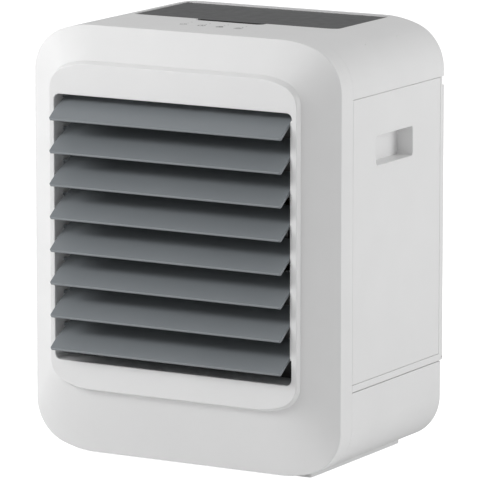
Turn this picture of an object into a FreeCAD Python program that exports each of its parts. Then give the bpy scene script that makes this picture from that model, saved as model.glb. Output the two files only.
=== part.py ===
import FreeCAD, Part
import math
import os

"""Tabletop evaporative cooler: a white plastic body with eight swinging louvres in front,
a filling lid on top, an axial fan, a wetted cooling pad behind it and a water tank in the base.

Millimetres. +X is the cooler's left-to-right seen from the front, the front faces -Y, +Z is up.
The origin is on the floor, under the middle of the whole object's box.
Every sub-part has its own function. Each writes one STEP file named after its node.
"""

# ---- driving dimensions -------------------------------------------------------------------

# the body's outline, seen from the front
HALF_WIDTH = 160.0
BODY_LOW = 2.0
BODY_HIGH = 398.0
SIDE_RADIUS = 42.0
CAP_RADIUS = 100.0
CAP_SWEEP = 20.0

# the body along its depth
FRONT_TIP_Y = -117.7
CREASE_Y = -77.6
CREASE_RADIUS = 1.0
BEVEL_FRONT_Y = -97.6
FLANGE_BACK_Y = -56.6
REAR_WALL_Y = 114.1
REAR_FACE_Y = 117.7

# seams between the covers
WALL = 2.5
BASE_SEAM_Z = 80.2
TOP_SEAM_Z = 345.4
BASE_GAP = 0.8
TOP_GAP = 0.4
FRONT_GAP = 0.4
FRAME_GAP = 0.12

# front bevel's inner outline, and the raised panel inside it
BEVEL_HALF_WIDTH = 130.0
BEVEL_LOW = 64.0
BEVEL_HIGH = 368.7
BEVEL_SIDE_RADIUS = 23.0
BEVEL_CAP_RADIUS = 81.0
PANEL_HALF_WIDTH = 129.0
PANEL_LOW = 66.2
PANEL_HIGH = 366.0
PANEL_SIDE_RADIUS = 22.0
PANEL_CAP_RADIUS = 80.0
PANEL_FACE_Y = -103.3
PANEL_SKIRT_Y = -92.0

# air outlet
OUTLET_HALF_WIDTH = 123.5
OUTLET_LOW = 91.3
OUTLET_HIGH = 336.6
OUTLET_RADIUS = 5.5
DUCT_HIGH = 346.0
DUCT_BACK_Y = -71.6
DUCT_WALL = 2.0

# louvres
LOUVRE_COUNT = 8
LOUVRE_PITCH = 30.24
LOUVRE_TOP_TIP_Z = 315.3
LOUVRE_HALF_LENGTH = 120.2
LOUVRE_RADIUS = 150.0
LOUVRE_THICKNESS = 2.6
LOUVRE_TIP_SLOPE = 37.0
LOUVRE_TAIL_SLOPE = 18.0
LOUVRE_CORNER = 2.2
PIVOT_Y = -86.6
PIVOT_RADIUS = 1.8
PIN_CLEARANCE = 0.05
LINK_Y = -98.1
LINK_PIN_RADIUS = 1.3
LINK_NEAR_X = 120.8
LINK_FAR_X = 122.6

# fan
FAN_Z = 214.0
FAN_RADIUS = 104.0
SHROUD_RADIUS = 107.5
SHROUD_FRONT_Y = -65.0
SHROUD_PLATE = 3.0
SHROUD_BACK_Y = -22.0
FAN_BLADES = 7
HUB_RADIUS = 34.0
SHAFT_RADIUS = 4.0
MOTOR_RADIUS = 36.0
MOTOR_FRONT_Y = -24.0
MOTOR_BACK_Y = 24.0
FAN_FRONT_Y = -57.0
FAN_BACK_Y = -29.0
GUARD_HUB_RADIUS = 23.0
GUARD_RING_PITCH = 11

# lid and filling basin
LID_HALF_WIDTH = 107.0
LID_FRONT_Y = 6.5
LID_BACK_Y = 110.6
LID_TOP_Z = 396.9
LID_THICKNESS = 2.5
LID_NOSE = 2.4
LID_PIN_RADIUS = 1.5
LID_GAP = 0.5
LID_CORNER = 9.0
LID_REAR_CORNER = 0.6
NOTCH_HALF_WIDTH = 36.0
NOTCH_FRONT_Y = -2.8
NOTCH_CORNER = 7.0
COLLAR_WALL = 3.0
COLLAR_LOW = 386.0
LEDGE_LOW_Z = 391.6
BASIN_FLOOR_Z = 356.0

# touch keys on top
KEY_XS = (-28.8, -9.6, 9.6, 28.8)
KEY_Y = -32.6
BOARD_TOP_Z = 389.6
POWER_TOP_Z = 371.6

# handle cups in the sides
CUP_FRONT_Y = -12.6
CUP_BACK_Y = 56.5
CUP_LOW = 280.3
CUP_HIGH = 307.2
CUP_DEPTH = 16.0
CUP_WALL = 1.8

# side panels
PANEL_SET_IN = 2.6
SIDE_PANEL_LOW = 87.2
SIDE_PANEL_BACK_Y = 110.1

# rear: cooling pad, filter and grille
PAD_HALF_WIDTH = 128.0
PAD_LOW = 88.0
PAD_HIGH = 334.0
PAD_FRONT_Y = 72.0
PAD_BACK_Y = 102.0
PAD_WINDOWS = 7
REAR_OPENING_HALF_WIDTH = 133.0
GRILLE_HALF_WIDTH = 156.0
GRILLE_LOW = 81.5
GRILLE_HIGH = 337.0
GRILLE_INNER_Y = 114.5
GRILLE_PIN_RADIUS = 1.2
FIRST_SLOT_Z = 95.0
SLOT_PITCH = 9.4
SLOT_HEIGHT = 4.6

# water path
TRAY_LOW = 339.5
PUMP_X = 112.0
PUMP_Y = 64.0
HOSE_X = 137.0
HOSE_RADIUS = 5.0
HOSE_BORE = 3.5
FILL_TUBE_X = -92.0
FILL_TUBE_Y = 46.0
DRAIN_X = -112.0
DRAIN_Z = 30.0
DRAIN_RADIUS = 7.0
DRAIN_SLEEVE_RADIUS = 9.0
DRAIN_FLANGE_RADIUS = 10.5

# feet
RAIL_INNER_X = 98.0
RAIL_OUTER_X = 124.0
RAIL_FRONT_Y = -66.6
RAIL_BACK_Y = 102.2
RAIL_LOW = 0.6
FOOT_XS = (-112.0, 112.0)
FOOT_YS = (-50.0, 85.0)

# mains inlet in the back of the top cover
INLET_X = 119.0
INLET_Z = 372.0
INLET_HALF_WIDTH = 13.0
INLET_HALF_HEIGHT = 8.5

X_AXIS = FreeCAD.Vector(1, 0, 0)
Y_AXIS = FreeCAD.Vector(0, 1, 0)
Z_AXIS = FreeCAD.Vector(0, 0, 1)


# ---- shared shapes ------------------------------------------------------------------------

def vec(x, y, z):
    return FreeCAD.Vector(x, y, z)


def box(x0, x1, y0, y1, z0, z1):
    return Part.makeBox(x1 - x0, y1 - y0, z1 - z0, vec(x0, y0, z0))


def cylinder(radius, start, end):
    """A round bar between two points."""
    along = end - start
    return Part.makeCylinder(radius, along.Length, start, along)


def tube(outer, inner, start, end):
    return cylinder(outer, start, end).cut(cylinder(inner, start, end))


def rounded_box(x0, x1, y0, y1, z0, z1, radius, axis):
    """A box whose four edges along one axis are rounded."""
    solid = box(x0, x1, y0, y1, z0, z1)
    edges = [e for e in solid.Edges if abs(e.tangentAt(e.FirstParameter).dot(axis)) > 0.99]
    return solid.makeFillet(radius, edges)


def joined(shapes):
    """One solid from overlapping ones, without leftover seams."""
    first, rest = shapes[0], shapes[1:]
    return first.fuse(rest).removeSplitter() if rest else first


def arc_edge(cx, cz, radius, start, end, y):
    """An arc in a plane of constant Y. Angles are in degrees from +X towards +Z."""
    points = []
    for angle in (start, (start + end) / 2, end):
        a = math.radians(angle)
        points.append(vec(cx + radius * math.cos(a), y, cz + radius * math.sin(a)))
    return Part.Arc(*points).toShape()


def outline(half_width, low, high, y, side_radius, cap_radius):
    """The body's outline at one Y: each corner is a tight arc off the side and a wide one off the top."""
    meet = 90.0 - CAP_SWEEP
    across = side_radius + (cap_radius - side_radius) * math.cos(math.radians(meet))
    up = cap_radius - (cap_radius - side_radius) * math.sin(math.radians(meet))
    edges = []
    for turn, flip_x, flip_z in ((0, 1, 1), (90, -1, 1), (180, -1, -1), (270, 1, -1)):
        side_centre = (flip_x * (half_width - side_radius), high - up if flip_z > 0 else low + up)
        cap_centre = (flip_x * (half_width - across), high - cap_radius if flip_z > 0 else low + cap_radius)
        if turn in (0, 180):
            edges.append(arc_edge(*side_centre, side_radius, turn, turn + meet, y))
            edges.append(arc_edge(*cap_centre, cap_radius, turn + meet, turn + 90, y))
        else:
            edges.append(arc_edge(*cap_centre, cap_radius, turn, turn + CAP_SWEEP, y))
            edges.append(arc_edge(*side_centre, side_radius, turn + CAP_SWEEP, turn + 90, y))
    closed = []
    for here, after in zip(edges, edges[1:] + edges[:1]):
        closed.append(here)
        a, b = here.valueAt(here.LastParameter), after.valueAt(after.FirstParameter)
        if a.distanceToPoint(b) > 1e-6:
            closed.append(Part.makeLine(a, b))
    return Part.Wire(Part.__sortEdges__(closed))


def body_outline(y, inset=0.0):
    return outline(HALF_WIDTH - inset, BODY_LOW + inset, BODY_HIGH - inset, y,
                   SIDE_RADIUS - inset, CAP_RADIUS - inset)


def bevel_outline(y, inset=0.0):
    return outline(BEVEL_HALF_WIDTH - inset, BEVEL_LOW + inset, BEVEL_HIGH - inset, y,
                   BEVEL_SIDE_RADIUS - inset, BEVEL_CAP_RADIUS - inset)


def panel_outline(y, inset=0.0):
    return outline(PANEL_HALF_WIDTH - inset, PANEL_LOW + inset, PANEL_HIGH - inset, y,
                   PANEL_SIDE_RADIUS - inset, PANEL_CAP_RADIUS - inset)


def prism(wire, depth):
    return Part.Face(wire).extrude(vec(0, depth, 0))


def body_block(y0, y1, inset=0.0):
    return prism(body_outline(y0, inset), y1 - y0)


def body_ring(y0, y1, outer_inset, inner_inset):
    return body_block(y0, y1, outer_inset).cut(body_block(y0, y1, inner_inset))


def edges_at(solid, keep):
    return [e for e in solid.Edges if keep(e.BoundBox)]


def rear_rounded_block(y0, y1, radius):
    """A length of the body whose rear edge is rounded all the way round."""
    block = body_block(y0, y1)
    return block.makeFillet(radius, edges_at(block, lambda b: b.YMin > y1 - 0.01))


def screw(head, tip, shank_radius, head_radius, head_height):
    """A pan-head screw with a cross recess. The head's top is at head, the shank ends at tip."""
    way = (tip - head).normalize()
    cap = cylinder(head_radius, head, head + way * head_height)
    shank = cylinder(shank_radius, head + way * head_height * 0.5, tip)
    body = cap.fuse(shank)
    side = way.cross(X_AXIS if abs(way.x) < 0.5 else Y_AXIS).normalize()
    for direction in (side, way.cross(side)):
        slot = Part.makeBox(head_radius * 1.2, head_radius * 0.24, head_height * 0.5)
        slot.translate(vec(-head_radius * 0.6, -head_radius * 0.12, 0))
        turn = FreeCAD.Rotation(direction, way.cross(direction), way, "XYZ")
        slot.Placement = FreeCAD.Placement(head, turn).multiply(slot.Placement)
        body = body.cut(slot)
    return body


# ---- body shells --------------------------------------------------------------------------

FRAME_SCREW_SPOTS = [(side * 141.0, z) for side in (-1, 1) for z in (104.0, FAN_Z, 324.0)]


def front_frame():
    """The bevelled ring with its crisp crease, a flange behind it and a lip that the covers slip over."""
    bevel = Part.makeLoft([body_outline(CREASE_Y), bevel_outline(BEVEL_FRONT_Y)], True, True)
    outer = bevel.fuse(body_block(CREASE_Y, FLANGE_BACK_Y))
    inner = [body_outline(CREASE_Y + 1.0, WALL), bevel_outline(BEVEL_FRONT_Y + 2.6, WALL)]
    hollow = Part.makeLoft(inner, True, True)
    hollow = hollow.fuse(body_block(CREASE_Y + 1.0, FLANGE_BACK_Y + 1.0, WALL))
    mouth = prism(panel_outline(BEVEL_FRONT_Y - 5.0, -0.7), 20.0)
    frame = outer.cut(hollow).cut(mouth)
    collar = prism(panel_outline(-95.4, -2.7), 5.4).cut(prism(panel_outline(-96.0, -0.7), 7.0))
    ledge = prism(panel_outline(PANEL_SKIRT_Y, -2.7), 2.0).cut(prism(panel_outline(-93.0, 2.6), 5.0))
    web = body_ring(FLANGE_BACK_Y - 5.4, FLANGE_BACK_Y - 0.9, 2.0, 4.8)
    lip = body_ring(FLANGE_BACK_Y - 2.0, FLANGE_BACK_Y + 6.6, 2.8, 4.8)
    parts = [frame, collar, ledge, web, lip]
    for x, z in FRAME_SCREW_SPOTS:
        parts.append(cylinder(4.0, vec(x, BEVEL_FRONT_Y, z), vec(x, SHROUD_FRONT_Y, z)).common(outer))
    solid = joined(parts)
    for x, z in FRAME_SCREW_SPOTS:
        solid = solid.cut(cylinder(1.3, vec(x, CREASE_Y - 4.4, z), vec(x, SHROUD_FRONT_Y + 1.0, z)))
    crease = edges_at(solid, lambda b: b.YLength < 0.01 and abs(b.YMin - CREASE_Y) < 0.01)
    return solid.makeFillet(CREASE_RADIUS, crease)


def front_panel():
    """The raised front plate with the air outlet, and the short duct that carries the louvre pivots."""
    block = prism(panel_outline(PANEL_FACE_Y), PANEL_SKIRT_Y - PANEL_FACE_Y)
    block = block.makeFillet(1.0, edges_at(block, lambda b: b.YMax < PANEL_FACE_Y + 0.01))
    pocket = prism(panel_outline(PANEL_FACE_Y + WALL, WALL), 20.0)
    w, d = OUTLET_HALF_WIDTH, DUCT_WALL
    duct = rounded_box(-w - d, w + d, PANEL_FACE_Y + 0.5, DUCT_BACK_Y, OUTLET_LOW - d, DUCT_HIGH + d,
                       OUTLET_RADIUS + d, Y_AXIS)
    bore = rounded_box(-w, w, PANEL_FACE_Y + WALL, DUCT_BACK_Y + 1.0, OUTLET_LOW, DUCT_HIGH,
                       OUTLET_RADIUS, Y_AXIS)
    mouth = rounded_box(-w, w, PANEL_FACE_Y - 1.0, PANEL_FACE_Y + WALL + 1.0, OUTLET_LOW, OUTLET_HIGH,
                        OUTLET_RADIUS, Y_AXIS)
    solid = block.cut(pocket).fuse(duct).cut(bore).cut(mouth)
    rim = edges_at(solid, lambda b: b.YMax < PANEL_FACE_Y + 0.01 and max(-b.XMin, b.XMax) < w + 0.01
                   and b.ZMin > OUTLET_LOW - 0.01 and b.ZMax < OUTLET_HIGH + 0.01)
    solid = solid.makeFillet(0.8, rim)
    holes = []
    for index in range(LOUVRE_COUNT):
        z = louvre_line_z(index, PIVOT_Y)
        ends = vec(-w - 5, PIVOT_Y, z), vec(w + 5, PIVOT_Y, z)
        holes.append(cylinder(PIVOT_RADIUS + PIN_CLEARANCE, *ends))
    return solid.cut(Part.makeCompound(holes)).removeSplitter()


def main_shell():
    """The chassis between base and top cover: two side walls, a rear wall and a rail under the pad."""
    low, high = BASE_SEAM_Z + BASE_GAP / 2, TOP_SEAM_Z - TOP_GAP
    wall_x = HALF_WIDTH - PANEL_SET_IN - 0.2
    strip_low_top = SIDE_PANEL_LOW - 0.3
    strip_back = SIDE_PANEL_BACK_Y + 0.3
    front = FLANGE_BACK_Y + FRONT_GAP
    lip_clear = FLANGE_BACK_Y + 7.2
    cheek_x = GRILLE_HALF_WIDTH + 0.4
    parts = []
    for side in (-1, 1):
        def wall(x0, x1, y0, y1, z0, z1):
            return box(min(side * x0, side * x1), max(side * x0, side * x1), y0, y1, z0, z1)
        parts.append(wall(wall_x - WALL, wall_x, lip_clear, REAR_WALL_Y, low, high))
        parts.append(wall(wall_x + 0.1, HALF_WIDTH, front, REAR_WALL_Y, low, strip_low_top))
        parts.append(wall(wall_x - 0.5, HALF_WIDTH, lip_clear, REAR_WALL_Y, low, strip_low_top))
        parts.append(wall(wall_x - WALL, HALF_WIDTH, strip_back, REAR_WALL_Y, low, high))
        cheek = wall(cheek_x, HALF_WIDTH, REAR_WALL_Y - 1.0, REAR_FACE_Y, low, GRILLE_HIGH + 0.4)
        corner = edges_at(cheek, lambda b: b.ZLength > 10.0 and b.YMin > REAR_FACE_Y - 0.01
                          and max(-b.XMin, b.XMax) > HALF_WIDTH - 0.01)
        parts.append(cheek.makeFillet(0.5, corner))
    parts.append(box(-wall_x, wall_x, REAR_WALL_Y - WALL, REAR_WALL_Y, low, high))
    parts.append(box(-wall_x, wall_x, PAD_FRONT_Y - 1.8, REAR_WALL_Y, low, low + 3.0))
    solid = joined(parts)
    w = REAR_OPENING_HALF_WIDTH
    solid = solid.cut(rounded_box(-w, w, REAR_WALL_Y - 14.1, REAR_WALL_Y + 1.0,
                                  low + 3.4, GRILLE_HIGH - 3.5, 4.0, Y_AXIS))
    solid = solid.cut(box(-150.0, 150.0, REAR_WALL_Y - 3.5, REAR_WALL_Y + 1.0, GRILLE_HIGH, high + 1.0))
    drips = [rounded_box(x - 12.0, x + 12.0, 80.0, 94.0, low - 1.0, low + 4.0, 4.0, Z_AXIS)
             for x in range(-108, 109, 36)]
    solid = solid.cut(Part.makeCompound(drips))
    pin_y, pin_z = grille_axis()
    pin_ends = vec(-HALF_WIDTH - 1, pin_y, pin_z), vec(HALF_WIDTH + 1, pin_y, pin_z)
    solid = solid.cut(cylinder(GRILLE_PIN_RADIUS + PIN_CLEARANCE, *pin_ends))
    for side in (-1, 1):
        solid = solid.cut(cup_block(side, CUP_WALL + 0.3))
    return solid.removeSplitter()


def cup_block(side, grow):
    """The block of space that a handle cup takes, grown by a clearance."""
    inner, outer = HALF_WIDTH - CUP_DEPTH - grow, HALF_WIDTH + 1.0
    x0, x1 = sorted((side * inner, side * outer))
    return rounded_box(x0, x1, CUP_FRONT_Y - grow, CUP_BACK_Y + grow, CUP_LOW - grow, CUP_HIGH + grow,
                       2.5 + grow, X_AXIS)


def side_panel(side):
    """A flat cover set into the side of the body, open where the handle cup sits."""
    x0, x1 = sorted((side * (HALF_WIDTH - PANEL_SET_IN), side * HALF_WIDTH))
    solid = box(x0, x1, FLANGE_BACK_Y + FRONT_GAP, SIDE_PANEL_BACK_Y, SIDE_PANEL_LOW, TOP_SEAM_Z - TOP_GAP)
    face = side * HALF_WIDTH
    solid = solid.makeFillet(0.4, edges_at(solid, lambda b: abs(b.XMin - face) < 0.01
                                           and abs(b.XMax - face) < 0.01))
    return solid.cut(cup_block(side, CUP_WALL + 0.05))


def handle_cup(side):
    """A lift pocket: a five-sided cup, flush with the side panel, for the fingers of one hand."""
    solid = cup_block(side, CUP_WALL)
    face = side * HALF_WIDTH
    x0, x1 = sorted((face, side * (HALF_WIDTH + 5.0)))
    solid = solid.cut(box(x0, x1, -100.0, 100.0, 200.0, 400.0))
    solid = solid.cut(cup_block(side, 0.0))
    mouth = edges_at(solid, lambda b: abs(b.XMin - face) < 0.01 and abs(b.XMax - face) < 0.01
                     and b.YMin > CUP_FRONT_Y - 0.1 and b.YMax < CUP_BACK_Y + 0.1
                     and b.ZMin > CUP_LOW - 0.1 and b.ZMax < CUP_HIGH + 0.1)
    return solid.makeFillet(0.7, mouth)


def lid_plan(z0, z1, grow):
    """The lid's plan as a block: round corners in front, nearly square ones at the hinge."""
    half, front_y, back_y = LID_HALF_WIDTH + grow, LID_FRONT_Y - grow, LID_BACK_Y + grow
    block = box(-half, half, front_y, back_y, z0, z1)
    front = edges_at(block, lambda b: b.ZLength > z1 - z0 - 0.01 and b.YMax < front_y + 0.01)
    block = block.makeFillet(LID_CORNER + grow, front)
    rear = edges_at(block, lambda b: b.ZLength > z1 - z0 - 0.01 and b.YMin > back_y - 0.01)
    return block.makeFillet(LID_REAR_CORNER + grow, rear)


def notch_plan(z0, z1, grow):
    """The finger notch in front of the lid."""
    return rounded_box(-NOTCH_HALF_WIDTH - grow, NOTCH_HALF_WIDTH + grow, NOTCH_FRONT_Y - grow,
                       LID_FRONT_Y + 2 * NOTCH_CORNER, z0, z1, NOTCH_CORNER + grow, Z_AXIS)


BOARD_POSTS = [(x, y) for x in (-46.0, 46.0) for y in (-45.0, -18.0)]
POWER_POSTS = [(x, y) for x in (121.0, 139.0) for y in (0.0, 60.0)]
LIGHT_GUIDE_Y = KEY_Y + 8.0
LIGHT_GUIDE_RADIUS = 0.8


def top_cover():
    """The cap over the body, with the lid opening, its collar and the posts that the boards hang from."""
    front = FLANGE_BACK_Y + FRAME_GAP
    block = rear_rounded_block(front, REAR_FACE_Y, 0.8)
    hollow = body_block(front - 1.0, REAR_FACE_Y - WALL, WALL)
    above = box(-200, 200, -200, 200, TOP_SEAM_Z, 500)
    shell = block.cut(hollow).common(above)
    collar = lid_plan(COLLAR_LOW, BODY_HIGH - 1.0, LID_GAP + COLLAR_WALL)
    collar = collar.fuse(notch_plan(COLLAR_LOW, BODY_HIGH - 1.0, COLLAR_WALL))
    way = lid_plan(COLLAR_LOW - 1.0, BODY_HIGH + 5.0, LID_GAP)
    way = way.fuse(notch_plan(COLLAR_LOW - 1.0, BODY_HIGH + 5.0, 0.0))
    parts = [shell, collar]
    for x, y in BOARD_POSTS:
        parts.append(cylinder(3.0, vec(x, y, BOARD_TOP_Z), vec(x, y, BODY_HIGH - 1.0)))
    for x, y in POWER_POSTS:
        parts.append(cylinder(3.0, vec(x, y, POWER_TOP_Z), vec(x, y, cover_inside_z(x) + 1.0)))
    solid = joined(parts).cut(way)
    ledges = []
    for side in (-1, 1):
        x0, x1 = sorted((side * (LID_HALF_WIDTH - 3.0), side * (LID_HALF_WIDTH + LID_GAP + 0.5)))
        ledges.append(box(x0, x1, LID_FRONT_Y + 10.0, LID_BACK_Y - 16.0,
                          LEDGE_LOW_Z, LID_TOP_Z - LID_THICKNESS - 0.1))
    solid = solid.fuse(ledges)
    y, z = lid_axis()
    reach = LID_HALF_WIDTH + 5.0
    solid = solid.cut(cylinder(LID_PIN_RADIUS + PIN_CLEARANCE, vec(-reach, y, z), vec(reach, y, z)))
    guides = [cylinder(LIGHT_GUIDE_RADIUS + PIN_CLEARANCE, vec(x, LIGHT_GUIDE_Y, BOARD_TOP_Z),
                       vec(x, LIGHT_GUIDE_Y, BODY_HIGH + 1.0)) for x in KEY_XS]
    solid = solid.cut(Part.makeCompound(guides))
    wide, tall = INLET_HALF_WIDTH + 0.1, INLET_HALF_HEIGHT + 0.1
    socket = rounded_box(INLET_X - wide, INLET_X + wide, REAR_FACE_Y - 2 * WALL, REAR_FACE_Y + 1.0,
                         INLET_Z - tall, INLET_Z + tall, 3.0, Y_AXIS)
    solid = solid.cut(socket)
    solid = solid.cut(board_screw_holes(BOARD_POSTS, BOARD_TOP_Z))
    return solid.cut(board_screw_holes(POWER_POSTS, POWER_TOP_Z)).removeSplitter()


def cover_inside_z(x):
    """Height of the top cover's inner face at a given X, on the wide corner arc."""
    radius = CAP_RADIUS - WALL
    meet = math.radians(90.0 - CAP_SWEEP)
    start = HALF_WIDTH - SIDE_RADIUS - (CAP_RADIUS - SIDE_RADIUS) * math.cos(meet)
    beyond = max(0.0, abs(x) - start)
    return BODY_HIGH - CAP_RADIUS + math.sqrt(radius ** 2 - beyond ** 2)


def base_shell():
    """The water tank that is also the bottom of the body: an open tub with a hole for the drain."""
    front = FLANGE_BACK_Y + FRAME_GAP
    block = rear_rounded_block(front, REAR_WALL_Y, 0.8)
    hollow = body_block(FLANGE_BACK_Y + 9.8, REAR_WALL_Y - WALL, WALL)
    porch = body_block(front - 1.0, FLANGE_BACK_Y + 7.2, WALL)
    below = box(-200, 200, -200, 200, -10, BASE_SEAM_Z - BASE_GAP / 2)
    shell = block.cut(hollow).cut(porch).common(below)
    drain = cylinder(DRAIN_SLEEVE_RADIUS + PIN_CLEARANCE, drain_point(-2 * WALL), drain_point(1.0))
    solid = shell.removeSplitter().cut(drain)
    for x, y in BASE_SCREW_SPOTS:
        solid = solid.cut(cylinder(1.5, vec(x, y, 0.0), vec(x, y, tank_floor_z(x) - 0.6)))
    return solid.removeSplitter()


BASE_SCREW_SPOTS = [(x, y) for x in FOOT_XS for y in (-20.0, 55.0)]


def drain_point(beyond):
    """A point on the drain's axis, some way behind the tank's back face."""
    return vec(DRAIN_X, REAR_WALL_Y + beyond, DRAIN_Z)


def drain_bush():
    """The bush that the drain plug seals in: a sleeve through the tank's wall, a flange inside it."""
    sleeve = cylinder(DRAIN_SLEEVE_RADIUS, drain_point(-9.0), drain_point(0.0))
    flange = cylinder(DRAIN_FLANGE_RADIUS, drain_point(-9.0), drain_point(-WALL))
    return sleeve.fuse(flange).cut(cylinder(DRAIN_RADIUS, drain_point(-10.0), drain_point(1.0)))


def foot_rail(side):
    """A long foot under one side of the body; its top follows the body's curved underside."""
    x0, x1 = sorted((side * RAIL_INNER_X, side * RAIL_OUTER_X))
    rail = rounded_box(x0, x1, RAIL_FRONT_Y, RAIL_BACK_Y, RAIL_LOW, 12.0, 3.0, Z_AXIS)
    rail = rail.cut(body_block(-120.0, 130.0, 0.0))
    for x in FOOT_XS:
        for y in FOOT_YS:
            rail = rail.cut(cylinder(8.2, vec(x, y, -1.0), vec(x, y, 2.0)))
    for x, y in BASE_SCREW_SPOTS:
        rail = rail.cut(cylinder(3.1, vec(x, y, 0.0), vec(x, y, RAIL_LOW + 1.4)))
        rail = rail.cut(cylinder(1.5, vec(x, y, 0.0), vec(x, y, 12.0)))
    return rail


def foot_pads():
    """Four round rubber pads, the only faces that touch the table."""
    pads = []
    for x in FOOT_XS:
        for y in FOOT_YS:
            pad = cylinder(8.0, vec(x, y, 0.0), vec(x, y, 2.0))
            pads.append(pad.makeFillet(0.5, edges_at(pad, lambda b: b.ZMax < 0.01)))
    return Part.makeCompound(pads)


# ---- lid and basin ------------------------------------------------------------------------

def lid_axis():
    return LID_BACK_Y - LID_NOSE, LID_TOP_Z - LID_NOSE


def lid():
    """The smoked filling lid: a plate whose rear edge is a round nose about the hinge pins."""
    y, z = lid_axis()
    plan = lid_plan(LID_TOP_Z - 8.0, LID_TOP_Z, 0.0)
    upper = edges_at(plan, lambda b: b.ZMin > LID_TOP_Z - 0.01 and b.YMin < LID_BACK_Y - 1.0)
    plan = plan.makeFillet(0.5, upper)
    plate = box(-150, 150, 0, y, LID_TOP_Z - LID_THICKNESS, LID_TOP_Z + 1.0)
    nose = cylinder(LID_NOSE, vec(-150, y, z), vec(150, y, z))
    solid = plan.common(plate.fuse(nose))
    for side in (-1, 1):
        solid = solid.fuse(cylinder(LID_PIN_RADIUS, vec(side * (LID_HALF_WIDTH - 9.0), y, z),
                                    vec(side * (LID_HALF_WIDTH + LID_GAP + COLLAR_WALL - 0.2), y, z)))
    return solid.removeSplitter()


def fill_basin():
    """The tray under the lid that takes ice and water and drains them into the tank."""
    half, front, back = LID_HALF_WIDTH - 3.0, LID_FRONT_Y + 3.5, LID_BACK_Y - 5.4
    flange = rounded_box(-LID_HALF_WIDTH - 4.0, LID_HALF_WIDTH + 4.0, NOTCH_FRONT_Y - 4.0, LID_BACK_Y + 4.0,
                         COLLAR_LOW - 2.0, COLLAR_LOW, 6.0, Z_AXIS)
    cup = rounded_box(-half, half, front, back, BASIN_FLOOR_Z, COLLAR_LOW - 1.0, 8.0, Z_AXIS)
    space = rounded_box(-half + 2.0, half - 2.0, front + 2.0, back - 2.0, BASIN_FLOOR_Z + 2.0,
                        COLLAR_LOW + 1.0, 6.0, Z_AXIS)
    solid = flange.fuse(cup).cut(space)
    spout = tube(6.2, 5.0, vec(FILL_TUBE_X, FILL_TUBE_Y, BASIN_FLOOR_Z - 8.0),
                 vec(FILL_TUBE_X, FILL_TUBE_Y, BASIN_FLOOR_Z + 1.0))
    solid = solid.fuse(spout)
    holes = [cylinder(1.6, vec(FILL_TUBE_X + dx, FILL_TUBE_Y + dy, BASIN_FLOOR_Z - 1.0),
                      vec(FILL_TUBE_X + dx, FILL_TUBE_Y + dy, BASIN_FLOOR_Z + 3.0))
             for dx in (-2.2, 2.2) for dy in (-2.2, 2.2)]
    return solid.cut(Part.makeCompound(holes)).removeSplitter()


def fill_tube():
    """The pipe that leads water from the basin down into the tank."""
    low, high = vec(FILL_TUBE_X, FILL_TUBE_Y, 60.0), vec(FILL_TUBE_X, FILL_TUBE_Y, BASIN_FLOOR_Z)
    return tube(8.0, 6.25, low, high)


# ---- louvres ------------------------------------------------------------------------------

def louvre_centre(index):
    """Centre of a blade's arc in the YZ plane."""
    slope = math.radians(LOUVRE_TIP_SLOPE)
    tip_y = FRONT_TIP_Y + LOUVRE_THICKNESS / 2
    tip_z = LOUVRE_TOP_TIP_Z - index * LOUVRE_PITCH
    return tip_y + LOUVRE_RADIUS * math.sin(slope), tip_z - LOUVRE_RADIUS * math.cos(slope)


def louvre_line_z(index, y):
    """Height of a blade's middle surface at one Y."""
    cy, cz = louvre_centre(index)
    return cz + math.sqrt(LOUVRE_RADIUS ** 2 - (cy - y) ** 2)


def louvre(index):
    """One curved blade with its two pivot pins and the stub that the link bar moves it by."""
    cy, cz = louvre_centre(index)

    def at(radius, slope):
        s = math.radians(slope)
        return vec(-LOUVRE_HALF_LENGTH, cy - radius * math.sin(s), cz + radius * math.cos(s))

    half = LOUVRE_THICKNESS / 2
    outer, inner, middle = LOUVRE_RADIUS + half, LOUVRE_RADIUS - half, LOUVRE_RADIUS
    tip, tail = LOUVRE_TIP_SLOPE, LOUVRE_TAIL_SLOPE
    between = (tip + tail) / 2
    round_off = math.degrees(half / LOUVRE_RADIUS)
    edges = [
        Part.Arc(at(outer, tip), at(outer, between), at(outer, tail)).toShape(),
        Part.Arc(at(outer, tail), at(middle, tail - round_off), at(inner, tail)).toShape(),
        Part.Arc(at(inner, tail), at(inner, between), at(inner, tip)).toShape(),
        Part.Arc(at(inner, tip), at(middle, tip + round_off), at(outer, tip)).toShape(),
    ]
    blade = Part.Face(Part.Wire(edges)).extrude(vec(2 * LOUVRE_HALF_LENGTH, 0, 0))
    corners = Part.makeCompound([corner_cutter(side, at(middle, tip), tip) for side in (-1, 1)])
    blade = blade.cut(corners)
    pivot_z, link_z = louvre_line_z(index, PIVOT_Y), louvre_line_z(index, LINK_Y)
    stubs = []
    for side in (-1, 1):
        inner, outer_end = side * (LOUVRE_HALF_LENGTH - 3.2), side * (OUTLET_HALF_WIDTH + 1.8)
        stubs.append(cylinder(PIVOT_RADIUS, vec(inner, PIVOT_Y, pivot_z), vec(outer_end, PIVOT_Y, pivot_z)))
    root = vec(LOUVRE_HALF_LENGTH - 4.2, LINK_Y, link_z)
    stubs.append(cylinder(LINK_PIN_RADIUS, root, vec(LINK_FAR_X, LINK_Y, link_z)))
    return blade.fuse(stubs).removeSplitter()


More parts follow.
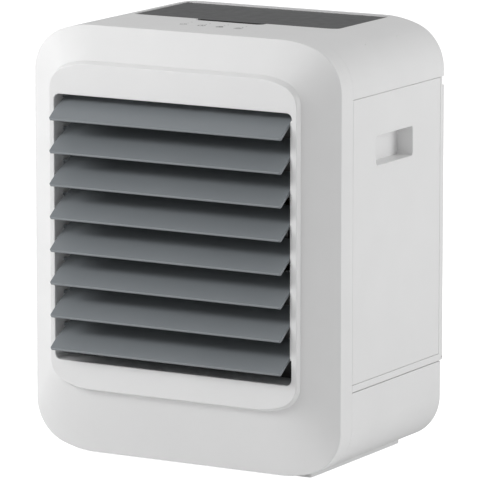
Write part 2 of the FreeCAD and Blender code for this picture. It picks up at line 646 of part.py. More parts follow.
def corner_cutter(side, tip, slope):
    """What rounds one front corner of a blade: a square less a quarter disc, square to the blade."""
    r = LOUVRE_CORNER
    edge = LOUVRE_THICKNESS / 2
    block = Part.makeBox(r + 1, r + 1, 12, vec(0, -edge - 1, -6))
    disc = Part.makeCylinder(r, 14, vec(0, r - edge, -7))
    piece = block.cut(disc)
    if side < 0:
        piece = piece.mirror(vec(0, 0, 0), X_AXIS)
    piece.rotate(vec(0, 0, 0), X_AXIS, slope)
    piece.translate(vec(side * (LOUVRE_HALF_LENGTH - r), tip.y, tip.z))
    return piece


def louvre_link():
    """The upright bar that ties the blades together, so that they swing as one."""
    top, bottom = louvre_line_z(0, LINK_Y), louvre_line_z(LOUVRE_COUNT - 1, LINK_Y)
    half = 2.5
    bar = rounded_box(LINK_NEAR_X, LINK_FAR_X, LINK_Y - half, LINK_Y + half, bottom - half, top + half,
                      half - 0.1, X_AXIS)
    holes = []
    for index in range(LOUVRE_COUNT):
        z = louvre_line_z(index, LINK_Y)
        holes.append(cylinder(LINK_PIN_RADIUS + PIN_CLEARANCE, vec(LINK_NEAR_X - 1, LINK_Y, z),
                              vec(LINK_FAR_X + 1, LINK_Y, z)))
    return bar.cut(Part.makeCompound(holes))


# ---- fan ----------------------------------------------------------------------------------

def on_fan(y):
    return vec(0, y, FAN_Z)


def fan_shroud():
    """The bulkhead behind the louvres with the ring that the fan turns in."""
    front, back = SHROUD_FRONT_Y, SHROUD_BACK_Y
    plate = rounded_box(-150.0, 150.0, front, front + SHROUD_PLATE, 70.0, 358.0, 30.0, Y_AXIS)
    ring = cylinder(SHROUD_RADIUS + 2.5, on_fan(front), on_fan(back))
    solid = plate.fuse(ring).cut(cylinder(SHROUD_RADIUS, on_fan(front - 1), on_fan(back + 1)))
    for x, z in FRAME_SCREW_SPOTS:
        solid = solid.cut(cylinder(1.7, vec(x, SHROUD_FRONT_Y - 1, z), vec(x, SHROUD_FRONT_Y + 5, z)))
    return solid.removeSplitter()


def fan_guard():
    """A finger guard on the front of the shroud: rings and spokes round a closed middle."""
    y0, y1 = SHROUD_FRONT_Y - 2.0, SHROUD_FRONT_Y
    parts = [cylinder(GUARD_HUB_RADIUS, on_fan(y0), on_fan(y1))]
    for r in range(33, 112, GUARD_RING_PITCH):
        parts.append(tube(r + 1.0, r - 1.0, on_fan(y0), on_fan(y1)))
    for k in range(8):
        spoke = box(20.0, 112.0, y0, y1, FAN_Z - 1.2, FAN_Z + 1.2)
        spoke.rotate(on_fan(0), Y_AXIS, 45.0 * k + 22.5)
        parts.append(spoke)
    return joined(parts)


def fan_rotor():
    """The moulded axial fan: a cup-shaped hub and twisted blades."""
    front, back = FAN_FRONT_Y, FAN_BACK_Y
    hub = cylinder(HUB_RADIUS, on_fan(front), on_fan(back))
    hub = hub.makeFillet(4.0, edges_at(hub, lambda b: b.YMax < front + 0.01))
    hub = hub.cut(cylinder(HUB_RADIUS - 2.5, on_fan(front + 2.5), on_fan(back + 1)))
    core = cylinder(8.0, on_fan(front), on_fan(back))
    blades = [fan_blade(360.0 / FAN_BLADES * k, front, back) for k in range(FAN_BLADES)]
    solid = joined([hub, core] + blades)
    return solid.cut(cylinder(SHAFT_RADIUS, on_fan(front - 1), on_fan(back + 1)))


def fan_blade(turn, front, back):
    """One blade: a thin curved section that flattens out from hub to tip."""
    middle = (front + back) / 2
    sections = []
    stations = ((HUB_RADIUS - 4.0, 46.0, 32.0), (70.0, 34.0, 46.0), (FAN_RADIUS + 1.0, 25.0, 56.0))
    for radius, pitch, chord in stations:
        points = []
        for side in (1, -1):
            steps = range(-3, 4) if side > 0 else range(3, -4, -1)
            for step in steps:
                along = chord * step / 6.0
                camber = 3.0 * (1 - (step / 3.0) ** 2)
                across = camber + side * (0.9 if abs(step) < 3 else 0.35)
                p = math.radians(pitch)
                tangential = along * math.cos(p) - across * math.sin(p)
                depth = along * math.sin(p) + across * math.cos(p)
                points.append(vec(radius, middle + depth, FAN_Z + tangential))
        sections.append(Part.makePolygon(points + points[:1]))
    blade = Part.makeLoft(sections, True, True)
    blade = blade.common(cylinder(FAN_RADIUS, on_fan(front), on_fan(back)))
    blade.rotate(on_fan(0), Y_AXIS, turn)
    return blade


def fan_shaft():
    """The motor shaft that the fan is pressed on, threaded at its front end for the nut."""
    front, back = FAN_FRONT_Y - 6.5, MOTOR_BACK_Y - 4.0
    shaft = cylinder(SHAFT_RADIUS, on_fan(front), on_fan(back))
    return shaft.makeChamfer(0.6, edges_at(shaft, lambda b: b.YMax < front + 0.1 or b.YMin > back - 0.1))


def fan_nut():
    """The knurled nut that holds the fan on its shaft."""
    front = FAN_FRONT_Y - 6.0
    nut = cylinder(8.5, on_fan(front), on_fan(FAN_FRONT_Y))
    grooves = []
    for k in range(16):
        a = math.radians(22.5 * k)
        x, z = 8.8 * math.cos(a), FAN_Z + 8.8 * math.sin(a)
        grooves.append(cylinder(0.8, vec(x, front - 1.0, z), vec(x, FAN_FRONT_Y + 1.0, z)))
    thread = cylinder(SHAFT_RADIUS, on_fan(front - 1.0), on_fan(FAN_FRONT_Y + 1.0))
    return nut.cut(Part.makeCompound(grooves)).cut(thread)


def motor_housing():
    """The drawn steel can of the fan motor, with a boss at each end for a bearing."""
    can = cylinder(MOTOR_RADIUS, on_fan(MOTOR_FRONT_Y), on_fan(MOTOR_BACK_Y))
    can = can.makeFillet(3.0, edges_at(can, lambda b: b.YLength < 0.01))
    boss = cylinder(11.0, on_fan(MOTOR_FRONT_Y - 3.0), on_fan(MOTOR_FRONT_Y + 2.0))
    solid = can.fuse(boss).cut(cylinder(8.0, on_fan(MOTOR_FRONT_Y - 4.0), on_fan(MOTOR_BACK_Y - 2.0)))
    vents = []
    for k in range(8):
        vent = box(14.0, 28.0, MOTOR_BACK_Y - 1.2, MOTOR_BACK_Y + 1.0, FAN_Z - 2.0, FAN_Z + 2.0)
        vent.rotate(on_fan(0), Y_AXIS, 45.0 * k)
        vents.append(vent)
    return solid.cut(Part.makeCompound(vents))


def motor_bearings():
    """Two sintered bushes that carry the shaft in the can."""
    bore = SHAFT_RADIUS + PIN_CLEARANCE
    front = tube(8.0, bore, on_fan(MOTOR_FRONT_Y - 3.0), on_fan(MOTOR_FRONT_Y + 6.0))
    back = tube(8.0, bore, on_fan(MOTOR_BACK_Y - 14.0), on_fan(MOTOR_BACK_Y - 5.0))
    return Part.makeCompound([front, back])


def motor_bracket():
    """A clamp ring round the motor, on four arms that bolt to the shroud ring."""
    y0, y1 = SHROUD_BACK_Y, SHROUD_BACK_Y + 4.0
    parts = [tube(MOTOR_RADIUS + 5.0, MOTOR_RADIUS, on_fan(y0), on_fan(y0 + 16.0))]
    for k in range(4):
        arm = box(MOTOR_RADIUS + 2.0, SHROUD_RADIUS + 2.4, y0, y1, FAN_Z - 7.0, FAN_Z + 7.0)
        arm.rotate(on_fan(0), Y_AXIS, 45.0 + 90.0 * k)
        parts.append(arm)
    solid = joined(parts)
    outer = tube(SHROUD_RADIUS + 2.4, SHROUD_RADIUS - 6.0, on_fan(y0), on_fan(y0 + 2.0))
    return joined([solid, outer])


def shroud_screws():
    """Six screws that hold the shroud to the front frame."""
    return Part.makeCompound([
        screw(vec(x, SHROUD_FRONT_Y + SHROUD_PLATE + 2.0, z), vec(x, -80.0, z), 1.25, 3.0, 2.0)
        for x, z in FRAME_SCREW_SPOTS])


# ---- rear: pad, filter, grille --------------------------------------------------------------

def cooling_pad():
    """The wetted honeycomb pad, as its outer block."""
    return box(-PAD_HALF_WIDTH, PAD_HALF_WIDTH, PAD_FRONT_Y, PAD_BACK_Y, PAD_LOW, PAD_HIGH)


def pad_frame():
    """The cassette round the pad: four sides and a grid of bars that keeps the pad in."""
    w, t = PAD_HALF_WIDTH, 2.5
    outer = box(-w - t, w + t, PAD_FRONT_Y - 1.5, PAD_BACK_Y + 2.0, PAD_LOW - t, PAD_HIGH + t)
    solid = outer.cut(box(-w, w, PAD_FRONT_Y - 5, PAD_BACK_Y + 5, PAD_LOW, PAD_HIGH))
    bars = []
    for y0 in (PAD_FRONT_Y - 1.5, PAD_BACK_Y + 0.2):
        for k in range(1, PAD_WINDOWS):
            x = -w + 2 * w * k / PAD_WINDOWS
            bars.append(box(x - 1.0, x + 1.0, y0, y0 + 1.3, PAD_LOW - 1.0, PAD_HIGH + 1.0))
            z = PAD_LOW + (PAD_HIGH - PAD_LOW) * k / PAD_WINDOWS
            bars.append(box(-w - 1.0, w + 1.0, y0, y0 + 1.3, z - 1.0, z + 1.0))
    return joined([solid] + bars)


def grille_axis():
    thickness = REAR_FACE_Y - GRILLE_INNER_Y
    return GRILLE_INNER_Y + thickness / 2, GRILLE_LOW + thickness / 2


def rear_grille():
    """The air intake panel: rows of slots, hinged on two pins at its lower corners."""
    y, z = grille_axis()
    w = GRILLE_HALF_WIDTH
    plate = rounded_box(-w, w, GRILLE_INNER_Y, REAR_FACE_Y, z, GRILLE_HIGH, 4.0, Y_AXIS)
    plate = plate.fuse(box(-w, w, GRILLE_INNER_Y, REAR_FACE_Y, z, z + 8.0))
    nose = cylinder(REAR_FACE_Y - y, vec(-w, y, z), vec(w, y, z))
    solid = plate.fuse(nose).removeSplitter()
    face = edges_at(solid, lambda b: b.YMin > REAR_FACE_Y - 0.01 and b.ZMax > z + 1.0)
    solid = solid.makeFillet(0.8, face)
    slots = []
    rows, columns = 25, 4
    span = 2 * REAR_OPENING_HALF_WIDTH - 12.0
    for row in range(rows):
        low = FIRST_SLOT_Z + row * SLOT_PITCH
        for column in range(columns):
            x0 = -span / 2 + column * span / columns + 2.0
            x1 = -span / 2 + (column + 1) * span / columns - 2.0
            slots.append(rounded_box(x0, x1, GRILLE_INNER_Y - 1, REAR_FACE_Y + 1,
                                     low, low + SLOT_HEIGHT, 2.2, Y_AXIS))
    solid = solid.cut(Part.makeCompound(slots))
    for side in (-1, 1):
        ends = vec(side * (w - 8.0), y, z), vec(side * (w + 3.2), y, z)
        solid = solid.fuse(cylinder(GRILLE_PIN_RADIUS, *ends))
    return solid


def dust_filter():
    """A fine mesh in a thin frame, clipped behind the grille."""
    w, y0, y1 = REAR_OPENING_HALF_WIDTH - 1.5, GRILLE_INNER_Y - 2.4, GRILLE_INNER_Y
    low, high = 90.0, 331.5
    ring = box(-w, w, y0, y1, low, high).cut(box(-w + 4, w - 4, y0 - 1, y1 + 1, low + 4, high - 4))
    parts = [ring, box(-w + 3, w - 3, y0 + 0.8, y0 + 1.4, low + 3, high - 3)]
    for k in range(1, 4):
        x = -w + 2 * w * k / 4
        parts.append(box(x - 1.5, x + 1.5, y0, y1, low + 1, high - 1))
    return joined(parts)


# ---- water --------------------------------------------------------------------------------

def distributor_tray():
    """The trough over the pad that spreads the pumped water through a row of drip holes."""
    x0, x1 = -140.0, 148.0
    trough = box(x0, x1, 57.0, 109.0, TRAY_LOW, TRAY_LOW + 12.0)
    trough = trough.cut(box(x0 + 1.6, x1 - 1.6, 58.6, 107.4, TRAY_LOW + 1.6, TRAY_LOW + 20.0))
    holes = [cylinder(1.2, vec(x, y, TRAY_LOW - 1), vec(x, y, TRAY_LOW + 3))
             for x in range(-120, 121, 16) for y in (82.0, 92.0)]
    hose = cylinder(HOSE_RADIUS, vec(HOSE_X, PUMP_Y, TRAY_LOW - 1), vec(HOSE_X, PUMP_Y, TRAY_LOW + 3))
    holes.append(hose)
    return trough.cut(Part.makeCompound(holes))


def pump_housing():
    """The submerged pump: a motor pot over a volute, with a nipple for the hose."""
    low, split, high = 14.0, 26.0, 52.0
    pot = cylinder(19.0, vec(PUMP_X, PUMP_Y, low), vec(PUMP_X, PUMP_Y, high))
    pot = pot.makeFillet(3.0, edges_at(pot, lambda b: b.ZMin > high - 0.01))
    arm = box(PUMP_X, HOSE_X + 5.0, PUMP_Y - 5.0, PUMP_Y + 5.0, split - 8.0, split)
    nipple = cylinder(HOSE_BORE - 0.02, vec(HOSE_X, PUMP_Y, split - 2.0), vec(HOSE_X, PUMP_Y, split + 10.0))
    solid = joined([pot, arm, nipple])
    volute = cylinder(15.5, vec(PUMP_X, PUMP_Y, low - 1.0), vec(PUMP_X, PUMP_Y, split - 1.0))
    outlet = cylinder(2.0, vec(HOSE_X, PUMP_Y, split - 5.0), vec(HOSE_X, PUMP_Y, split + 11.0))
    duct = cylinder(2.0, vec(PUMP_X + 13.0, PUMP_Y, split - 4.0), vec(HOSE_X + 1.0, PUMP_Y, split - 4.0))
    journal = cylinder(2.05, vec(PUMP_X, PUMP_Y, split - 2.0), vec(PUMP_X, PUMP_Y, high - 10.0))
    return solid.cut([volute, outlet, duct, journal]).removeSplitter()


def pump_impeller():
    """The vaned wheel and its spindle, which spin about the pump's upright axis."""
    low = 17.0
    disc = cylinder(13.5, vec(PUMP_X, PUMP_Y, low + 4.0), vec(PUMP_X, PUMP_Y, low + 5.6))
    spindle = cylinder(2.0, vec(PUMP_X, PUMP_Y, low), vec(PUMP_X, PUMP_Y, 40.0))
    parts = [disc, spindle]
    for k in range(6):
        vane = box(PUMP_X + 1.0, PUMP_X + 13.0, PUMP_Y - 0.7, PUMP_Y + 0.7, low, low + 4.5)
        vane.rotate(vec(PUMP_X, PUMP_Y, 0), Z_AXIS, 60.0 * k)
        parts.append(vane)
    return joined(parts)


def pump_strainer():
    """The slotted foot that keeps grit out of the pump and stands it on the tank floor."""
    low, high = 11.8, 14.0
    disc = cylinder(19.0, vec(PUMP_X, PUMP_Y, low), vec(PUMP_X, PUMP_Y, high))
    slots = [box(PUMP_X - 11.0, PUMP_X + 11.0, PUMP_Y + dy - 0.8, PUMP_Y + dy + 0.8, low - 1, high + 1)
             for dy in (-8.0, -4.0, 0.0, 4.0, 8.0)]
    disc = disc.cut(Part.makeCompound(slots))
    feet = []
    for dx, dy in ((-14.0, -8.0), (-14.0, 8.0), (2.0, -15.0), (2.0, 15.0)):
        x, y = PUMP_X + dx, PUMP_Y + dy
        feet.append(cylinder(2.0, vec(x, y, tank_floor_z(x + 2.0)), vec(x, y, low + 0.5)))
    return joined([disc] + feet)


def tank_floor_z(x):
    """Height of the tank's inner floor at a given X."""
    return BODY_HIGH + BODY_LOW - cover_inside_z(x)


def riser_hose():
    """The silicone hose from the pump up to the tray."""
    return tube(HOSE_RADIUS, HOSE_BORE, vec(HOSE_X, PUMP_Y, 26.0), vec(HOSE_X, PUMP_Y, TRAY_LOW + 6.0))


def drain_plug():
    """The rubber plug of the tank: a tapered stem, a flange and a pull tab."""
    stem = Part.makeCone(DRAIN_RADIUS - 0.6, DRAIN_RADIUS - 0.1, 9.0, drain_point(-8.9), Y_AXIS)
    flange = cylinder(DRAIN_RADIUS + 3.0, drain_point(0.1), drain_point(1.8))
    flange = flange.makeFillet(0.6, edges_at(flange, lambda b: b.YMin > REAR_WALL_Y + 1.7))
    tab = rounded_box(DRAIN_X - 6.0, DRAIN_X + 6.0, REAR_WALL_Y + 1.0, REAR_WALL_Y + 3.4,
                      DRAIN_Z - 1.5, DRAIN_Z + 1.5, 1.0, Y_AXIS)
    return joined([stem, flange, tab])


# ---- electrics ----------------------------------------------------------------------------

def control_board():
    """The touch-key board under the top face, with its controller chip and connector."""
    top = BOARD_TOP_Z
    parts = [rounded_box(-52.0, 52.0, -50.0, -13.0, top - 1.6, top, 2.0, Z_AXIS),
             box(-8.0, 8.0, -46.0, -36.0, top - 3.2, top - 1.5),
             box(30.0, 40.0, -30.0, -24.0, top - 7.5, top - 1.5)]
    return joined(parts).cut(board_screw_holes(BOARD_POSTS, top))


def touch_springs():
    """Four contact springs that carry the touch keys' signal to the board, as plain sleeves."""
    return Part.makeCompound([
        tube(3.2, 2.4, vec(x, KEY_Y, BOARD_TOP_Z), vec(x, KEY_Y, BODY_HIGH - WALL - 0.05)) for x in KEY_XS])


def light_guides():
    """Four clear pegs that bring each key's light to the top face."""
    return Part.makeCompound([
        cylinder(LIGHT_GUIDE_RADIUS, vec(x, LIGHT_GUIDE_Y, BOARD_TOP_Z), vec(x, LIGHT_GUIDE_Y, BODY_HIGH))
        for x in KEY_XS])


def power_board():
    """The supply board hung beside the basin: a transformer, a capacitor and terminal blocks."""
    low, high = POWER_TOP_Z - 1.6, POWER_TOP_Z
    parts = [rounded_box(116.0, 144.0, -8.0, 68.0, low, high, 2.0, Z_AXIS),
             box(119.0, 141.0, 10.0, 32.0, low - 14.0, low + 0.5),
             cylinder(6.0, vec(130.0, 41.0, low - 16.0), vec(130.0, 41.0, low + 0.5)),
             box(124.0, 136.0, 50.0, 58.0, low - 9.0, low + 0.5)]
    return joined(parts).cut(board_screw_holes(POWER_POSTS, high))


def inlet_socket():
    """The two-pin mains inlet: a figure-eight cavity in a square-shouldered block."""
    x, z = INLET_X, INLET_Z
    face = REAR_FACE_Y - 0.6
    wide, tall = INLET_HALF_WIDTH, INLET_HALF_HEIGHT
    block = rounded_box(x - wide, x + wide, face - 22.0, face, z - tall, z + tall, 3.0, Y_AXIS)
    cavity = rounded_box(x - 9.4, x + 9.4, face - 16.0, face + 1.0, z - 5.0, z + 5.0, 4.9, Y_AXIS)
    solid = block.cut(cavity)
    pins = [cylinder(1.2, vec(x + dx, face - 18.0, z), vec(x + dx, face - 5.5, z)) for dx in (-4.3, 4.3)]
    return solid.fuse(pins)


# ---- fasteners ----------------------------------------------------------------------------

def base_screws():
    """Four screws under the foot rails that hold rails and tank together."""
    return Part.makeCompound([
        screw(vec(x, y, RAIL_LOW + 0.2), vec(x, y, tank_floor_z(x) - 0.6), 1.5, 3.0, 1.2)
        for x, y in BASE_SCREW_SPOTS])


def board_screws():
    """Eight small screws that hold both boards to the cover's posts."""
    shapes = []
    for posts, top in ((BOARD_POSTS, BOARD_TOP_Z), (POWER_POSTS, POWER_TOP_Z)):
        for x, y in posts:
            shapes.append(screw(vec(x, y, top - 3.2), vec(x, y, top + 4.0), 1.0, 2.2, 1.6))
    return Part.makeCompound(shapes)


def board_screw_holes(posts, top):
    return Part.makeCompound([cylinder(1.0, vec(x, y, top - 8.0), vec(x, y, top + 4.0)) for x, y in posts])


# ---- writing ------------------------------------------------------------------------------

def all_nodes():
    nodes = {
        "front_frame": front_frame(),
        "front_panel": front_panel(),
        "main_shell": main_shell(),
        "top_cover": top_cover(),
        "base_shell": base_shell(),
        "drain_bush": drain_bush(),
        "lid": lid(),
        "fill_basin": fill_basin(),
        "fill_tube": fill_tube(),
        "foot_pads": foot_pads(),
        "louvre_link": louvre_link(),
        "fan_shroud": fan_shroud(),
        "fan_guard": fan_guard(),
        "fan_rotor": fan_rotor(),
        "fan_shaft": fan_shaft(),
        "fan_nut": fan_nut(),
        "motor_housing": motor_housing(),
        "motor_bearings": motor_bearings(),
        "motor_bracket": motor_bracket(),
        "shroud_screws": shroud_screws(),
        "cooling_pad": cooling_pad(),
        "pad_frame": pad_frame(),
        "rear_grille": rear_grille(),
        "dust_filter": dust_filter(),
        "distributor_tray": distributor_tray(),
        "pump_housing": pump_housing(),
        "pump_impeller": pump_impeller(),
        "pump_strainer": pump_strainer(),
        "riser_hose": riser_hose(),
        "drain_plug": drain_plug(),
        "control_board": control_board(),
        "touch_springs": touch_springs(),
        "light_guides": light_guides(),
        "power_board": power_board(),
        "inlet_socket": inlet_socket(),
        "base_screws": base_screws(),
        "board_screws": board_screws(),
    }
    for name, side in (("left", -1), ("right", 1)):
        nodes[name + "_side_panel"] = side_panel(side)
        nodes[name + "_handle_cup"] = handle_cup(side)
        nodes[name + "_foot_rail"] = foot_rail(side)
    for index in range(LOUVRE_COUNT):
        nodes["louvre_%d" % (index + 1)] = louvre(index)
    return nodes


os.makedirs("parts", exist_ok=True)
for name, shape in all_nodes().items():
    shape.exportStep("parts/" + name + ".step")
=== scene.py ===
import math

import bmesh
import bpy
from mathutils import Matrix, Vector


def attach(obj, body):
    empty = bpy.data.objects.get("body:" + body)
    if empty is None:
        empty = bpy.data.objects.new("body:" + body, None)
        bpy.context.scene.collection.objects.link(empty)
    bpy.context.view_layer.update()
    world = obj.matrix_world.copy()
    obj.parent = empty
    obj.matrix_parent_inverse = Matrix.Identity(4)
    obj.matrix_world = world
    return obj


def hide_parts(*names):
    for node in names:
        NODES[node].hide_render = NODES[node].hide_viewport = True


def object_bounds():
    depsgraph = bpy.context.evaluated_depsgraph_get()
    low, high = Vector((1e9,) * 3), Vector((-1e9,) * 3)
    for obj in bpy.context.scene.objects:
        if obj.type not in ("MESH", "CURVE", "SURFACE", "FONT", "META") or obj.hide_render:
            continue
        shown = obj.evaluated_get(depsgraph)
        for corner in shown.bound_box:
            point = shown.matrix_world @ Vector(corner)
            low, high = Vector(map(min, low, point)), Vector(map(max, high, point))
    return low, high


# Looks of a tabletop evaporative cooler: white satin body, slate louvres, smoked lid.
# Metres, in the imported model's frame: the front faces -Y, +Z is up.

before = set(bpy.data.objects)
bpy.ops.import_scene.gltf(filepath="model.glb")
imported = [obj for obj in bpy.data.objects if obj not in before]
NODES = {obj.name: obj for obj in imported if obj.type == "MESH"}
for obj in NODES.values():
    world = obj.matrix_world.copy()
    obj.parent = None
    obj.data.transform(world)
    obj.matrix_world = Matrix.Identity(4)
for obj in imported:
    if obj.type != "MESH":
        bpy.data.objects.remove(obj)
cad_low, cad_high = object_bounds()
MM = 0.001

# ---- camera -------------------------------------------------------------------------------

VIEW_AZIMUTH = 29.887
VIEW_ELEVATION = 10.141
VIEW_DISTANCE = 4.5801
VIEW_LENS = 374.1
VIEW_TARGET = Vector((4.634, 12.4, 195.113)) * MM


def view_direction(azimuth, elevation):
    """Unit vector from the object towards a camera; azimuth 0 looks along +Y."""
    a, e = math.radians(azimuth), math.radians(elevation)
    return Vector((math.sin(a) * math.cos(e), -math.cos(a) * math.cos(e), math.sin(e)))


def aimed(name, data, location, target):
    """A new camera or light at a place, turned towards a target."""
    thing = bpy.data.objects.new(name, data)
    bpy.context.scene.collection.objects.link(thing)
    thing.location = location
    thing.rotation_mode = "QUATERNION"
    thing.rotation_quaternion = (target - location).to_track_quat("-Z", "Y")
    return thing


def make_camera():
    data = bpy.data.cameras.new("camera")
    data.lens = VIEW_LENS
    data.sensor_width = 36.0
    data.clip_end = 100.0
    location = VIEW_TARGET + view_direction(VIEW_AZIMUTH, VIEW_ELEVATION) * VIEW_DISTANCE
    bpy.context.scene.camera = aimed("camera", data, location, VIEW_TARGET)


# ---- light and floor ----------------------------------------------------------------------

# name: (azimuth, elevation, distance, width, height, watts)
LIGHTS = {
    "key": (-45.0, 28.0, 2.2, 0.5, 0.5, 9.3),
    "key_low": (-60.0, 22.0, 2.2, 0.5, 0.5, 7.5),
    "key_high": (-20.0, 38.0, 2.2, 0.5, 0.5, 4.7),
    "key_inner": (-30.0, 28.0, 2.2, 0.5, 0.5, 2.5),
    "left_fill": (-60.0, 12.0, 2.2, 1.2, 1.6, 2.2),
    "right_rear": (118.0, 14.0, 2.4, 1.4, 1.4, 20.6),
}
WORLD_BOTTOM = 0.218
WORLD_SIDE = 0.218
WORLD_TOP = 0.546
FLOOR_GLOW = 0.98
FLOOR_BOUNCE = 0.117
FLOOR_SIZE = 60.0
FLOOR_GREY = 0.72


def make_lights():
    centre = Vector((0.0, 0.0, (cad_low.z + cad_high.z) / 2))
    for name, (azimuth, elevation, distance, width, height, watts) in LIGHTS.items():
        data = bpy.data.lights.new(name, "AREA")
        data.shape = "RECTANGLE"
        data.size = width
        data.size_y = height
        data.energy = watts
        aimed(name, data, centre + view_direction(azimuth, elevation) * distance, centre)


def make_world():
    """White to the eye; as light, a soft dome whose strength changes with height."""
    world = bpy.data.worlds.new("studio")
    bpy.context.scene.world = world
    world.use_nodes = True
    tree = world.node_tree
    tree.nodes.clear()
    new, link = tree.nodes.new, tree.links.new
    coordinates = new("ShaderNodeTexCoord")
    split = new("ShaderNodeSeparateXYZ")
    ramp = new("ShaderNodeValToRGB")
    height = new("ShaderNodeMapRange")
    height.inputs["From Min"].default_value = -1.0
    link(coordinates.outputs["Generated"], split.inputs[0])
    link(split.outputs["Z"], height.inputs["Value"])
    link(height.outputs[0], ramp.inputs[0])
    stops = ramp.color_ramp.elements
    stops[0].color = (WORLD_BOTTOM,) * 3 + (1.0,)
    stops[1].color = (WORLD_TOP,) * 3 + (1.0,)
    middle = stops.new(0.5)
    middle.color = (WORLD_SIDE,) * 3 + (1.0,)
    dome = new("ShaderNodeBackground")
    link(ramp.outputs[0], dome.inputs["Color"])
    white = new("ShaderNodeBackground")
    white.inputs["Strength"].default_value = 1.0
    white.inputs["Color"].default_value = (1.0, 1.0, 1.0, 1.0)
    rays = new("ShaderNodeLightPath")
    mix = new("ShaderNodeMixShader")
    output = new("ShaderNodeOutputWorld")
    link(rays.outputs["Is Camera Ray"], mix.inputs[0])
    link(dome.outputs[0], mix.inputs[1])
    link(white.outputs[0], mix.inputs[2])
    link(mix.outputs[0], output.inputs["Surface"])


def make_floor():
    """A pale floor that washes out to white and keeps only a soft contact shadow."""
    half = FLOOR_SIZE / 2
    mesh = bpy.data.meshes.new("floor")
    corners = [(-half, -half, 0.0), (half, -half, 0.0), (half, half, 0.0), (-half, half, 0.0)]
    mesh.from_pydata(corners, [], [(0, 1, 2, 3)])
    floor = bpy.data.objects.new("floor", mesh)
    bpy.context.scene.collection.objects.link(floor)
    material = bpy.data.materials.new("floor")
    material.use_nodes = True
    tree = material.node_tree
    tree.nodes.clear()
    new, link = tree.nodes.new, tree.links.new
    matte = new("ShaderNodeBsdfDiffuse")
    matte.inputs["Color"].default_value = (FLOOR_GREY, FLOOR_GREY, FLOOR_GREY, 1.0)
    glow = new("ShaderNodeEmission")
    glow.inputs["Strength"].default_value = FLOOR_GLOW
    rays = new("ShaderNodeLightPath")
    seen_glow = new("ShaderNodeMixShader")
    bounce = new("ShaderNodeEmission")
    bounce.inputs["Strength"].default_value = FLOOR_BOUNCE
    both = new("ShaderNodeAddShader")
    output = new("ShaderNodeOutputMaterial")
    link(rays.outputs["Is Camera Ray"], seen_glow.inputs[0])
    link(bounce.outputs[0], seen_glow.inputs[1])
    link(glow.outputs[0], seen_glow.inputs[2])
    link(matte.outputs[0], both.inputs[0])
    link(seen_glow.outputs[0], both.inputs[1])
    link(both.outputs[0], output.inputs["Surface"])
    mesh.materials.append(material)


# ---- materials ----------------------------------------------------------------------------

# painted shade: a near-black strip on the lid beside the finger notch, where the gap lies in shadow
SHADE_HALF_WIDTH = 35.0 * MM
SHADE_BACK_Y = 11.6 * MM

